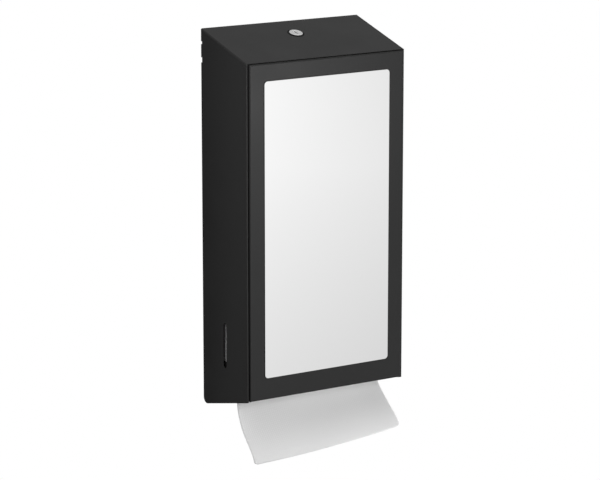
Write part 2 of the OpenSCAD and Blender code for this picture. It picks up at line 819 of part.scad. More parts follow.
wall_plate();
lock_catch();
hood_shell();
front_frame();
mirror_tape();
mirror_glass();  // mirror
mirror_backing();
mirror_clips();
clip_studs();
clip_nuts();
towel_tray();
mounting_studs();
stud_spacers();
stud_nuts();
hinge_pins();
hinge_washers();
hinge_clips();
stop_studs();
lock_bezel();
lock_housing();
lock_washer();
lock_nut();
lock_plug();
lock_cam();
cam_screw();
towel_stack();
hanging_towel();
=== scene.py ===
"""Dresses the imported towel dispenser: finishes for its solids, its paper towels and a plain studio."""

import json
import logging
import math
import random
from dataclasses import dataclass
from enum import Enum
from typing import Any

import bpy
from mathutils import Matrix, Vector


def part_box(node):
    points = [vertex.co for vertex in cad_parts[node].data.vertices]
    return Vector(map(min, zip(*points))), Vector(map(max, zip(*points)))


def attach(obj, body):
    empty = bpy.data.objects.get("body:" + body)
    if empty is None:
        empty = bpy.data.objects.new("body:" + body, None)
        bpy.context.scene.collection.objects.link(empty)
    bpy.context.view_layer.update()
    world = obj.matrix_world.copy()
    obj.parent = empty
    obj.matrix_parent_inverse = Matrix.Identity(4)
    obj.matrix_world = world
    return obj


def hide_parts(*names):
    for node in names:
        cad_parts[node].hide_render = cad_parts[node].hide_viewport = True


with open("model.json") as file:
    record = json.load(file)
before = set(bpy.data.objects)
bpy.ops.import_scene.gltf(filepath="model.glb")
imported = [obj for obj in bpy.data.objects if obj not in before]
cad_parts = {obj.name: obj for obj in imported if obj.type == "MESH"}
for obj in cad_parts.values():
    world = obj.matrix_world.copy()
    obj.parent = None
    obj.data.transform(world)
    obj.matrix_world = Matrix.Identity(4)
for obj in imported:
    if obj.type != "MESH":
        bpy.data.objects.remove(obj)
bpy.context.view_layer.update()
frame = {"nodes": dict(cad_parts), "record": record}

Pair = tuple[float, float]
Triple = tuple[float, float, float]
EdgeShares = tuple[Triple, ...]

MM = 0.001
WHITE = (1.0, 1.0, 1.0, 1.0)
# Most values of a noise texture lie between these two
NOISE_SPAN: Pair = (0.3, 0.7)
log = logging.getLogger("towel_dispenser")


class Slot(Enum):
    """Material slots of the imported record."""

    BLACK_COAT = "black_coat"
    MIRROR_GLASS = "mirror_glass"
    LOCK_CHROME = "lock_chrome"
    ZINC_STEEL = "zinc_steel"
    WHITE_PAPER = "white_paper"
    STACKED_PAPER = "stacked_paper"
    FOAM = "foam"
    BOARD = "board"
    NYLON = "nylon"
    BLACK_PLASTIC = "black_plastic"


class Body(Enum):
    """Bodies that new pieces ride on."""

    HOOD = "hood"
    TOWEL = "towel"


def linear(hex_colour: str) -> tuple[float, float, float, float]:
    """Turns an sRGB hex colour into linear values.

    Args:
        hex_colour: Six hex digits.

    Returns:
        Linear red, green, blue and an alpha of 1.
    """
    parts = [int(hex_colour[i:i + 2], 16) / 255 for i in (0, 2, 4)]
    red, green, blue = (c / 12.92 if c <= 0.04045 else ((c + 0.055) / 1.055) ** 2.4 for c in parts)
    return red, green, blue, 1.0


def add(tree: bpy.types.NodeTree, kind: str, inputs: dict[Any, Any] | None = None,
        **settings: Any) -> bpy.types.Node:
    """Adds one node to a shader tree.

    Args:
        tree: Tree that takes the node.
        kind: Type of the node, without its ShaderNode prefix.
        inputs: Values or output sockets for its inputs, by name or number.
        settings: The node's own properties.

    Returns:
        The new node.
    """
    node = tree.nodes.new("ShaderNode" + kind)
    for name, value in settings.items():
        setattr(node, name, value)
    for key, value in (inputs or {}).items():
        if isinstance(value, bpy.types.NodeSocket):
            tree.links.new(value, node.inputs[key])
        else:
            node.inputs[key].default_value = value
    return node


def per_metre(size_mm: float) -> float:
    """Gives the texture scale whose features are size_mm wide on coordinates in metres."""
    return 1 / (size_mm * MM)


@dataclass(frozen=True)
class Finish:
    """What every finish has: a name, and a method that makes its material."""

    name: str

    def start(self) -> tuple[bpy.types.Material, bpy.types.NodeTree, bpy.types.NodeSocket]:
        """Makes an empty material.

        Returns:
            The material, its cleared tree and the surface input of its output node.
        """
        material = bpy.data.materials.new(self.name)
        material.use_nodes = True
        tree = material.node_tree
        tree.nodes.clear()
        return material, tree, add(tree, "OutputMaterial").inputs["Surface"]

    def make(self) -> bpy.types.Material:
        """Makes the material; each finish has its own."""
        raise NotImplementedError


@dataclass(frozen=True)
class PowderCoat(Finish):
    """Polyester powder coat baked on steel: near black, satin, fine pebbled skin, and edges paled by a
    painted highlight.
    """

    colour: str = "1a1a1a"
    pale: str = "1e1e1e"
    cloud_mm: float = 70.0
    # Painted highlight: the paler colour laid on the coat's edges
    edge_colour: str = "242424"
    edge_mm: float = 0.5
    edge_highlight_flatness: Pair = (0.99, 0.8)
    roughness: float = 0.43
    roughness_swing: float = 0.03
    gloss: float = 0.29
    pebble_mm: float = 1.1
    pebble_depth_mm: float = 0.008

    def make(self) -> bpy.types.Material:
        """Makes the coat: clouded tone and gloss, pebbled bump, and rounded edges paled a little by a painted
        highlight.

        Returns:
            The material.
        """
        material, tree, surface = self.start()
        place = add(tree, "TexCoord").outputs["Object"]
        cloud = add(tree, "TexNoise", {"Vector": place, "Scale": per_metre(self.cloud_mm), "Detail": 3.0})
        tone = add(tree, "Mix", {"Factor": cloud.outputs["Fac"], "A": linear(self.colour),
                                 "B": linear(self.pale)}, data_type="RGBA")
        round_edge = add(tree, "Bevel", {"Radius": self.edge_mm * MM}, samples=6)
        true_normal = add(tree, "NewGeometry").outputs["Normal"]
        # Painted highlight: where the rounded normal turns from the true one, the colour goes over to the
        # paler edge colour
        flatness = add(tree, "VectorMath", {0: round_edge.outputs["Normal"], 1: true_normal},
                       operation="DOT_PRODUCT")
        edge = add(tree, "MapRange", {"Value": flatness.outputs["Value"], "From Min": self.edge_highlight_flatness[0],
                                      "From Max": self.edge_highlight_flatness[1]})
        colour = add(tree, "Mix", {"Factor": edge.outputs["Result"], "A": tone.outputs["Result"],
                                   "B": linear(self.edge_colour)}, data_type="RGBA")
        # The real pebble is about 0.3 mm; it is drawn coarser so that it shows
        pebble = add(tree, "TexNoise", {"Vector": place, "Scale": per_metre(self.pebble_mm), "Detail": 2.0})
        bump = add(tree, "Bump", {"Height": pebble.outputs["Fac"], "Distance": self.pebble_depth_mm * MM,
                                  "Strength": 0.3, "Normal": round_edge.outputs["Normal"]})
        rough = add(tree, "MapRange", {
            "Value": cloud.outputs["Fac"], "From Min": NOISE_SPAN[0], "From Max": NOISE_SPAN[1],
            "To Min": self.roughness - self.roughness_swing, "To Max": self.roughness + self.roughness_swing})
        shader = add(tree, "BsdfPrincipled", {
            "Base Color": colour.outputs["Result"], "Roughness": rough.outputs["Result"],
            "Normal": bump.outputs["Normal"], "IOR": 1.5, "Specular IOR Level": self.gloss})
        tree.links.new(shader.outputs["BSDF"], surface)
        return material


@dataclass(frozen=True)
class SilveredGlass(Finish):
    """Float glass silvered on its back: a clean mirror with faint smears, and ground grey edges."""

    colour: str = "f9f9f9"
    roughness: float = 0.012
    smear_mm: float = 45.0
    smear_span: Pair = (0.45, 0.8)
    smear_gain: float = 3.0
    edge_colour: str = "3a3c3b"
    edge_roughness: float = 0.35
    front: Triple = (0.0, -1.0, 0.0)
    front_span: Pair = (0.6, 0.7)

    def make(self) -> bpy.types.Material:
        """Makes the mirror on the face, with roughness that wanders in smears, and ground glass on the edges.

        Returns:
            The material.
        """
        material, tree, surface = self.start()
        coords = add(tree, "TexCoord")
        smear = add(tree, "TexNoise", {"Vector": coords.outputs["Object"], "Scale": per_metre(self.smear_mm),
                                       "Detail": 5.0})
        rough = add(tree, "MapRange", {
            "Value": smear.outputs["Fac"], "From Min": self.smear_span[0], "From Max": self.smear_span[1],
            "To Min": self.roughness, "To Max": self.smear_gain * self.roughness})
        face = add(tree, "BsdfPrincipled", {"Base Color": linear(self.colour), "Metallic": 1.0,
                                            "Roughness": rough.outputs["Result"]})
        edge = add(tree, "BsdfPrincipled", {"Base Color": linear(self.edge_colour), "IOR": 1.52,
                                            "Roughness": self.edge_roughness})
        facing = add(tree, "VectorMath", {0: coords.outputs["Normal"], 1: self.front},
                     operation="DOT_PRODUCT")
        is_face = add(tree, "MapRange", {"Value": facing.outputs["Value"], "From Min": self.front_span[0],
                                         "From Max": self.front_span[1]})
        both = add(tree, "MixShader", {"Fac": is_face.outputs["Result"], 1: edge.outputs["BSDF"],
                                       2: face.outputs["BSDF"]})
        tree.links.new(both.outputs["Shader"], surface)
        return material


@dataclass(frozen=True)
class PlatedMetal(Finish):
    """Plated metal, zinc or chrome: bright, with crystals of slightly different tone and fine scuffs."""

    colour: str = "b9b9b4"
    dull: str = "a3a39d"
    crystal_mm: float = 2.5
    roughness: float = 0.34
    roughness_swing: float = 0.2
    scuff_mm: float = 0.8
    scuff_depth_mm: float = 0.01

    def make(self) -> bpy.types.Material:
        """Makes the plate: cells of slightly different tone, and fine scuffs in roughness and bump.

        Returns:
            The material.
        """
        material, tree, surface = self.start()
        place = add(tree, "TexCoord").outputs["Object"]
        # Real crystals and scuffs are hair-fine; they are drawn coarser so that they show
        cells = add(tree, "TexVoronoi", {"Vector": place, "Scale": per_metre(self.crystal_mm)})
        grey = add(tree, "RGBToBW", {"Color": cells.outputs["Color"]})
        tone = add(tree, "Mix", {"Factor": grey.outputs["Val"], "A": linear(self.colour),
                                 "B": linear(self.dull)}, data_type="RGBA")
        scuff = add(tree, "TexNoise", {"Vector": place, "Scale": per_metre(self.scuff_mm), "Detail": 3.0})
        rough = add(tree, "MapRange", {
            "Value": scuff.outputs["Fac"], "From Min": NOISE_SPAN[0], "From Max": NOISE_SPAN[1],
            "To Min": (1 - self.roughness_swing) * self.roughness,
            "To Max": (1 + self.roughness_swing) * self.roughness})
        bump = add(tree, "Bump", {"Height": scuff.outputs["Fac"], "Distance": self.scuff_depth_mm * MM,
                                  "Strength": 0.4})
        shader = add(tree, "BsdfPrincipled", {
            "Base Color": tone.outputs["Result"], "Metallic": 1.0, "Roughness": rough.outputs["Result"],
            "Normal": bump.outputs["Normal"]})
        tree.links.new(shader.outputs["BSDF"], surface)
        return material


@dataclass(frozen=True)
class TowelPaper(Finish):
    """Towel paper: matt white and mottled by its fibres; embossed paper follows its sheet's UV map."""

    colour: str = "e8e8e8"
    fibre_colour: str = "dcdcdc"
    fibre_mm: float = 1.4
    fibre_height: float = 0.35
    emboss_mm: float = 3.2
    emboss_depth_mm: float = 0.12
    dot_span: Pair = (0.2, 0.42)
    embossed: bool = True

    def make(self) -> bpy.types.Material:
        """Makes the paper: mottled fibres and, where it is embossed, rows of raised dots.

        Returns:
            The material.
        """
        material, tree, surface = self.start()
        coords = add(tree, "TexCoord")
        place = coords.outputs["UV"] if self.embossed else coords.outputs["Object"]
        # Single fibres are too fine to show, so their clumps are drawn
        fibre = add(tree, "TexNoise", {"Vector": place, "Scale": per_metre(self.fibre_mm), "Detail": 6.0,
                                       "Roughness": 0.65})
        tone = add(tree, "Mix", {"Factor": fibre.outputs["Fac"], "A": linear(self.colour),
                                 "B": linear(self.fibre_colour)}, data_type="RGBA")
        height = fibre.outputs["Fac"]
        if self.embossed:
            dots = add(tree, "TexVoronoi", {"Vector": place, "Scale": per_metre(self.emboss_mm),
                                            "Randomness": 0.0})
            dot = add(tree, "MapRange", {
                "Value": dots.outputs["Distance"], "From Min": self.dot_span[0], "From Max": self.dot_span[1],
                "To Min": 1.0, "To Max": 0.0})
            relief = add(tree, "Math", {0: fibre.outputs["Fac"], 1: self.fibre_height,
                                        2: dot.outputs["Result"]}, operation="MULTIPLY_ADD")
            height = relief.outputs["Value"]
        bump = add(tree, "Bump", {"Height": height, "Distance": self.emboss_depth_mm * MM, "Strength": 0.5})
        shader = add(tree, "BsdfPrincipled", {
            "Base Color": tone.outputs["Result"], "Roughness": 0.92, "Normal": bump.outputs["Normal"],
            "Specular IOR Level": 0.2, "Sheen Weight": 0.1, "Sheen Roughness": 0.6})
        tree.links.new(shader.outputs["BSDF"], surface)
        return material


@dataclass(frozen=True)
class PlainSolid(Finish):
    """Moulded, pressed or foamed solid: a quiet surface with a fine grain of two tones."""

    colour: str
    second: str
    roughness: float
    grain_mm: float
    grain_depth_mm: float = 0.02
    stretch: Triple = (1.0, 1.0, 1.0)
    gloss: float = 0.5

    def make(self) -> bpy.types.Material:
        """Makes the solid: a grain in colour and bump, stretched where the maker's process stretches it.

        Returns:
            The material.
        """
        material, tree, surface = self.start()
        place = add(tree, "TexCoord").outputs["Object"]
        stretched = add(tree, "Mapping", {"Vector": place, "Scale": self.stretch})
        grain = add(tree, "TexNoise", {"Vector": stretched.outputs["Vector"],
                                       "Scale": per_metre(self.grain_mm), "Detail": 4.0})
        tone = add(tree, "Mix", {"Factor": grain.outputs["Fac"], "A": linear(self.colour),
                                 "B": linear(self.second)}, data_type="RGBA")
        bump = add(tree, "Bump", {"Height": grain.outputs["Fac"], "Distance": self.grain_depth_mm * MM,
                                  "Strength": 0.5})
        shader = add(tree, "BsdfPrincipled", {
            "Base Color": tone.outputs["Result"], "Roughness": self.roughness,
            "Normal": bump.outputs["Normal"], "Specular IOR Level": self.gloss})
        tree.links.new(shader.outputs["BSDF"], surface)
        return material


FINISHES: dict[Slot, Finish] = {
    Slot.BLACK_COAT: PowderCoat("black_powder_coat"),
    Slot.MIRROR_GLASS: SilveredGlass("silvered_glass"),
    # Pale and bright, with softly blurred reflections
    Slot.LOCK_CHROME: PlatedMetal("satin_chrome", colour="f6f6f6", dull="ececec", roughness=0.36,
                                  crystal_mm=6.0),
    # Greyer than chrome, with a tint of yellow
    Slot.ZINC_STEEL: PlatedMetal("zinc_plate"),
    Slot.WHITE_PAPER: TowelPaper("embossed_towel_paper"),
    Slot.STACKED_PAPER: TowelPaper("stacked_towel_paper", embossed=False),
    # Dark grey and quite matt, from its closed pores
    Slot.FOAM: PlainSolid("closed_cell_foam", colour="2a2a2a", second="202020", roughness=0.9, grain_mm=0.6),
    # Warm brown, with pressed fibres that run upright
    Slot.BOARD: PlainSolid("pressed_hardboard", colour="8a6f52", second="735a40", roughness=0.75,
                           grain_mm=1.5, stretch=(1.0, 1.0, 0.3)),
    # Milky, between matt and shiny
    Slot.NYLON: PlainSolid("natural_nylon", colour="e6e3d8", second="dcd8cc", roughness=0.5, grain_mm=2.0),
    # Deep black that hardly shines, from a mould with a fine grain
    Slot.BLACK_PLASTIC: PlainSolid("moulded_black_plastic", colour="080808", second="0d0d0d", roughness=0.8,
                                   grain_mm=0.7, gloss=0.2),
}


class Paint:
    """Makes each finish once and puts it on solids and new pieces."""

    def __init__(self) -> None:
        """Makes all the materials."""
        self.materials = {slot: finish.make() for slot, finish in FINISHES.items()}

    def put(self, piece: bpy.types.Object, slot: Slot) -> None:
        """Gives a piece one finish all over.

        Args:
            piece: Solid or new piece.
            slot: The record's slot whose finish it takes.
        """
        piece.data.materials.clear()
        piece.data.materials.append(self.materials[slot])

    def dress_solids(self) -> None:
        """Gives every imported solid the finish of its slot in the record."""
        for part in frame["record"]["subparts"]:
            self.put(frame["nodes"][part["node"]], Slot(part["material_slot"]))
            log.info("dressed %s", part["node"])


def link_piece(name: str, points: list[Vector], faces: list[tuple[int, ...]]) -> bpy.types.Object:
    """Makes a mesh object at the origin.

    Args:
        name: Name of the piece.
        points: Its points, in metres.
        faces: Its faces, as point numbers.

    Returns:
        The new object, smooth shaded.
    """
    mesh = bpy.data.meshes.new(name)
    mesh.from_pydata([tuple(point) for point in points], [], faces)
    piece = bpy.data.objects.new(name, mesh)
    bpy.context.scene.collection.objects.link(piece)
    mesh.polygons.foreach_set("use_smooth", [True] * len(mesh.polygons))
    return piece


def only(piece: bpy.types.Object) -> None:
    """Selects one piece and makes it active.

    Args:
        piece: The piece to select.
    """
    bpy.ops.object.select_all(action="DESELECT")
    piece.select_set(True)
    bpy.context.view_layer.objects.active = piece


def bezier(points: tuple[Vector, ...], t: float) -> Vector:
    """Gives the point of a cubic curve at t from 0 to 1."""
    s = 1 - t
    return s**3 * points[0] + 3 * s * s * t * points[1] + 3 * s * t * t * points[2] + t**3 * points[3]


@dataclass
class HangingTowel:
    """The towel that is presented under the outlet, as one sheet between two curved side edges.

    The edges are those of the part's source: each has four points, in shares of the folded depth from the
    middle of the outlet at the top of the sheet, put out to either side by half the towel's width. The bow
    is how far the middle of the lower edge hangs below the line between its corners, in the same shares.
    A point of the sheet has two shares: u of its width, from the left, and v of its length, from the outlet.
    """

    width_mm: float = 250.0
    fold_mm: float = 110.0
    top: Triple = (0.0, -73.0, -255.6)
    left: EdgeShares = ((-0.01, -0.064, 0), (0, -0.064, -0.591),
                        (0.036, -0.336, -0.627), (0.064, -0.409, -0.937))
    right: EdgeShares = ((0, 0.046, 0), (0.015, 0.09, -0.255),
                         (0.05, -0.227, -0.427), (0.064, -0.491, -0.72))
    bow: Triple = (0, -0.014, -0.028)
    columns: int = 100
    rows: int = 56
    measure_steps: int = 200
    slope_step: float = 0.01
    corner_mm: float = 5.0
    ripple_mm: float = 0.5
    broad_waves: float = 2.3
    broad_start: float = 0.8
    narrow_waves: float = 5.1
    narrow_drift: float = 2.0
    narrow_share: float = 0.5
    curl_mm: float = 0.9
    curl_from: float = 0.86
    ply_mm: float = 0.3

    def edge(self, shares: EdgeShares, side: int) -> tuple[Vector, ...]:
        """Gives one side edge's four points in millimetres; side is -1 on the left and 1 on the right."""
        out = Vector((side * self.width_mm / 2, 0, 0))
        return tuple(Vector(share) * self.fold_mm + out + Vector(self.top) for share in shares)

    def sag(self, u: float, v: float) -> Vector:
        """Gives how far a point of the sheet hangs below the line between its side edges, in millimetres."""
        return Vector(self.bow) * self.fold_mm * 4 * u * (1 - u) * v * v

    def length_mm(self) -> float:
        """Measures the sheet's middle line from the outlet to its lower edge.

        Returns:
            The length in millimetres.
        """
        left, right = self.edge(self.left, -1), self.edge(self.right, 1)
        shares = [j / self.measure_steps for j in range(self.measure_steps + 1)]
        steps = [(bezier(left, v) + bezier(right, v)) / 2 + self.sag(0.5, v) for v in shares]
        return sum((b - a).length for a, b in zip(steps, steps[1:]))

    def corner_inset(self, from_end_mm: float) -> float:
        """Gives how far a row draws in at each side to round the lower corners.

        Args:
            from_end_mm: How far the row lies from the lower edge.

        Returns:
            The inset in millimetres.
        """
        if from_end_mm >= self.corner_mm:
            return 0.0
        rise = self.corner_mm - from_end_mm
        return self.corner_mm - math.sqrt(self.corner_mm**2 - rise**2)

    def lift(self, u: float, v: float) -> float:
        """Gives the ripple and the curl at a point of the sheet.

        Args:
            u: Share of the width.
            v: Share of the length.

        Returns:
            The lift along the sheet's normal, in millimetres.
        """
        broad = math.sin(self.broad_waves * math.pi * u + self.broad_start)
        narrow = math.sin(self.narrow_waves * math.pi * u + self.narrow_drift * v)
        ripple = self.ripple_mm * (broad + self.narrow_share * narrow) * v * v
        curl = self.curl_mm * max(0.0, (v - self.curl_from) / (1 - self.curl_from)) ** 2
        return ripple + curl

    def grid(self, length: float) -> tuple[list[Vector], list[Pair]]:
        """Lays out the sheet's points, row by row from the outlet down.

        Args:
            length: Length of the sheet's middle line, in millimetres.

        Returns:
            The points, and the place of each on the flat sheet, both in metres.
        """
        left, right = self.edge(self.left, -1), self.edge(self.right, 1)
        points: list[Vector] = []
        flat: list[Pair] = []
        for j in range(self.rows + 1):
            v = j / self.rows
            above, below = max(v - self.slope_step, 0), min(v + self.slope_step, 1)
            a, b = bezier(left, v), bezier(right, v)
            left_down = bezier(left, below) - bezier(left, above)
            right_down = bezier(right, below) - bezier(right, above)
            inset = self.corner_inset(length * (1 - v)) / self.width_mm
            for i in range(self.columns + 1):
                u = inset + (1 - 2 * inset) * i / self.columns
                normal = (b - a).cross(left_down.lerp(right_down, u)).normalized()
                point = a.lerp(b, u) + normal * self.lift(u, v) + self.sag(u, v)
                points.append(point * MM)
                flat.append((u * self.width_mm * MM, v * length * MM))
        return points, flat

    def build(self, paint: Paint) -> bpy.types.Object:
        """Builds the sheet with round lower corners, soft ripples and a curled lower edge that bows down.

        Args:
            paint: Finishes to take the paper from.

        Returns:
            The sheet, riding on the towel's body.
        """
        length = self.length_mm()
        points, flat = self.grid(length)
        stride = self.columns + 1
        faces = [(j * stride + i, (j + 1) * stride + i, (j + 1) * stride + i + 1, j * stride + i + 1)
                 for j in range(self.rows) for i in range(self.columns)]
        sheet = link_piece("hanging_towel_sheet", points, faces)
        chart = sheet.data.uv_layers.new(name="UVMap")
        for loop in sheet.data.loops:
            chart.data[loop.index].uv = flat[loop.vertex_index]
        only(sheet)
        ply = sheet.modifiers.new("ply", "SOLIDIFY")
        ply.thickness = self.ply_mm * MM
        ply.offset = 0
        bpy.ops.object.modifier_apply(modifier="ply")
        paint.put(sheet, Slot.WHITE_PAPER)
        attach(sheet, Body.TOWEL.value)
        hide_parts("hanging_towel")
        return sheet


@dataclass
class TowelStack:
    """The folded towels on the tray: one ribbon of paper, folded to and fro as interfolded towels are.

    A layer is drawn thicker than a real leaf, so that the folds show.
    """

    layer_mm: float = 1.2
    slit_mm: float = 0.2
    ragged_mm: float = 1.2
    side_ragged_mm: float = 0.12
    fold_steps: int = 6
    flat_steps: int = 4
    across: int = 4
    crease_deg: float = 40.0
    seed: int = 7

    def centreline(self, low: Vector, high: Vector) -> list[Triple]:
        """Lays out the folded line from the tray up.

        Args:
            low: Lowest corner of the stack's space, in metres.
            high: Highest corner of the stack's space, in metres.

        Returns:
            Points as depth, height and the raggedness of their layer, all in metres.
        """
        draw = random.Random(self.seed)
        pitch = self.layer_mm * MM
        half = pitch / 2
        ragged_end = self.ragged_mm * MM
        count = int((high.z - low.z - self.slit_mm * MM) / pitch)
        line: list[Triple] = []
        ends = [(low.y + half + draw.random() * ragged_end, high.y - half - draw.random() * ragged_end)
                for _ in range(count)]
        for k in range(count):
            z = low.z + half + k * pitch
            front, back = ends[k]
            start, stop = (back, front) if k % 2 == 0 else (front, back)
            if k > 0:
                start = line[-1][0]
            if k + 1 < count:
                near = ends[k + 1]
                stop = max(stop, near[0]) if k % 2 == 0 else min(stop, near[1])
            ragged = draw.random() * self.side_ragged_mm * MM
            for i in range(self.flat_steps + 1):
                line.append((start + (stop - start) * i / self.flat_steps, z, ragged))
            if k + 1 < count:
                side = -1 if k % 2 == 0 else 1
                for i in range(1, self.fold_steps):
                    angle = math.pi * i / self.fold_steps
                    y = stop + side * half * math.sin(angle)
                    line.append((y, z + half * (1 - math.cos(angle)), ragged))
        return line

    def points(self, line: list[Triple], low: Vector, high: Vector) -> list[Vector]:
        """Gives the ribbon thickness and width.

        Args:
            line: The folded line.
            low: Lowest corner of the stack's space, in metres.
            high: Highest corner of the stack's space, in metres.

        Returns:
            For each point of the line two rows of points across the stack, one on either face of the ribbon.
        """
        half = (self.layer_mm - self.slit_mm) * MM / 2
        points: list[Vector] = []
        for n, (y, z, ragged) in enumerate(line):
            before, after = line[max(n - 1, 0)], line[min(n + 1, len(line) - 1)]
            along = Vector((0, after[0] - before[0], after[1] - before[1])).normalized()
            normal = Vector((0, -along.z, along.y))
            left, width = low.x + ragged, high.x - low.x - 2 * ragged
            for side in (-1, 1):
                place = Vector((0, y, z)) + side * half * normal
                points.extend(place + Vector((left + width * i / self.across, 0, 0))
                              for i in range(self.across + 1))
        return points

    def faces(self, count: int) -> list[tuple[int, ...]]:
        """Joins the rows of points to a closed ribbon.

        Args:
            count: How many points the folded line has.

        Returns:
            The faces of both sides, the two long edges and the two ends, as point numbers.
        """
        stride = self.across + 1
        step = 2 * stride
        faces: list[tuple[int, ...]] = []
        for n in range(count - 1):
            lower, upper = 2 * n * stride, (2 * n + 1) * stride
            for i in range(self.across):
                faces.append((lower + i, lower + step + i, lower + step + i + 1, lower + i + 1))
                faces.append((upper + i, upper + i + 1, upper + step + i + 1, upper + step + i))
            for end in (0, self.across):
                faces.append((lower + end, upper + end, upper + step + end, lower + step + end))
        for n in (0, count - 1):
            lower, upper = 2 * n * stride, (2 * n + 1) * stride
            faces.extend((lower + i, lower + i + 1, upper + i + 1, upper + i) for i in range(self.across))
        return faces

    def build(self, paint: Paint) -> bpy.types.Object:
        """Builds the ribbon in the space of the stack's solid.

        Args:
            paint: Finishes to take the paper from.

        Returns:
            The stack, riding on the hood.
        """
        low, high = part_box("towel_stack")
        line = self.centreline(low, high)
        stack = link_piece("folded_towel_stack", self.points(line, low, high), self.faces(len(line)))
        only(stack)
        bpy.ops.object.mode_set(mode="EDIT")
        bpy.ops.mesh.select_all(action="SELECT")
        bpy.ops.mesh.normals_make_consistent(inside=False)
        bpy.ops.object.mode_set(mode="OBJECT")
        bpy.ops.object.shade_smooth_by_angle(angle=math.radians(self.crease_deg))
        paint.put(stack, Slot.STACKED_PAPER)
        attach(stack, Body.HOOD.value)
        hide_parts("towel_stack")
        return stack


@dataclass(frozen=True)
class Lamp:
    """One soft lamp that faces the part; its place and size are in metres, its power in watts."""

    name: str
    place: Triple
    size: Pair
    watts: float
    mirrored: bool = True

    def hang(self, receivers: bpy.types.Collection) -> None:
        """Hangs the lamp, unseen by the camera, and seen in shiny surfaces only where it is mirrored.

        Args:
            receivers: Collection that says which pieces the lamp passes over.
        """
        light = bpy.data.lights.new(self.name, "AREA")
        light.shape = "RECTANGLE"
        light.size, light.size_y = self.size
        light.energy = self.watts
        lamp = bpy.data.objects.new(self.name, light)
        lamp.location = self.place
        lamp.visible_camera = False
        lamp.visible_glossy = self.mirrored
        lamp.rotation_euler = (-Vector(self.place)).to_track_quat("-Z", "Y").to_euler()
        lamp.light_linking.receiver_collection = receivers
        bpy.context.scene.collection.objects.link(lamp)


LAMPS = (
    # Lifts the front and the towel from below
    Lamp("fill", (0.0, -1.2, -0.45), (0.6, 0.4), 1.0),
    # A slim strip that lights the left side wall and reaches into the level slot
    Lamp("side", (-0.3, -0.26, 0.08), (0.04, 0.55), 0.5, mirrored=False),
    # Lights the back edge of the left side wall
    Lamp("rim", (-0.24, 0.045, 0.0), (0.04, 0.9), 0.07),
    # Lights what is seen from behind
    Lamp("back", (0.3, 1.6, 0.2), (0.8, 0.8), 4.0),
    # Lights the towel from low at the right
    Lamp("low", (0.45, -0.45, -0.52), (0.2, 0.2), 1.6, mirrored=False),
    # Puts the soft gleam on the front panel
    Lamp("gleam", (0.3, -1.0, 0.12), (0.2, 0.2), 2.15),
)


@dataclass(frozen=True)
class Grade:
    """A painted change of the floor's glow in reflections, from one gain to another between two reaches, in
    metres.

    A reach is a place's dot product with a line or, where there is no line, its distance from the part.
    """

    reaches: Pair
    gains: Pair
    line: Triple | None = None

    def gain(self, tree: bpy.types.NodeTree, place: bpy.types.NodeSocket) -> bpy.types.NodeSocket:
        """Adds the nodes that give the gain at a place.

        Args:
            tree: Tree that takes the nodes.
            place: Socket with the place on the floor.

        Returns:
            Socket with the gain.
        """
        if self.line:
            reach = add(tree, "VectorMath", {0: place, 1: self.line}, operation="DOT_PRODUCT")
        else:
            reach = add(tree, "VectorMath", {0: place}, operation="LENGTH")
        gain = add(tree, "MapRange", {
            "Value": reach.outputs["Value"], "From Min": self.reaches[0], "From Max": self.reaches[1],
            "To Min": self.gains[0], "To Max": self.gains[1]})
        return gain.outputs["Result"]


PAINTED_FLOOR_GRADES = (
    # Painted shade: the floor glows darker nearer the part and brighter far off
    Grade((3.6, 6.8), (0.96, 1.12)),
    # Painted shade: dark in the back left corner, which the left side wall reflects
    Grade((1.0, 3.5), (1.0, 0.1), line=(-0.53, 0.85, 0.0)),
    # Painted light: brighter on the left than on the right, which the mirror shows
    Grade((-0.6, 0.6), (1.13, 0.88), line=(1.0, 0.64, 0.0)),
)


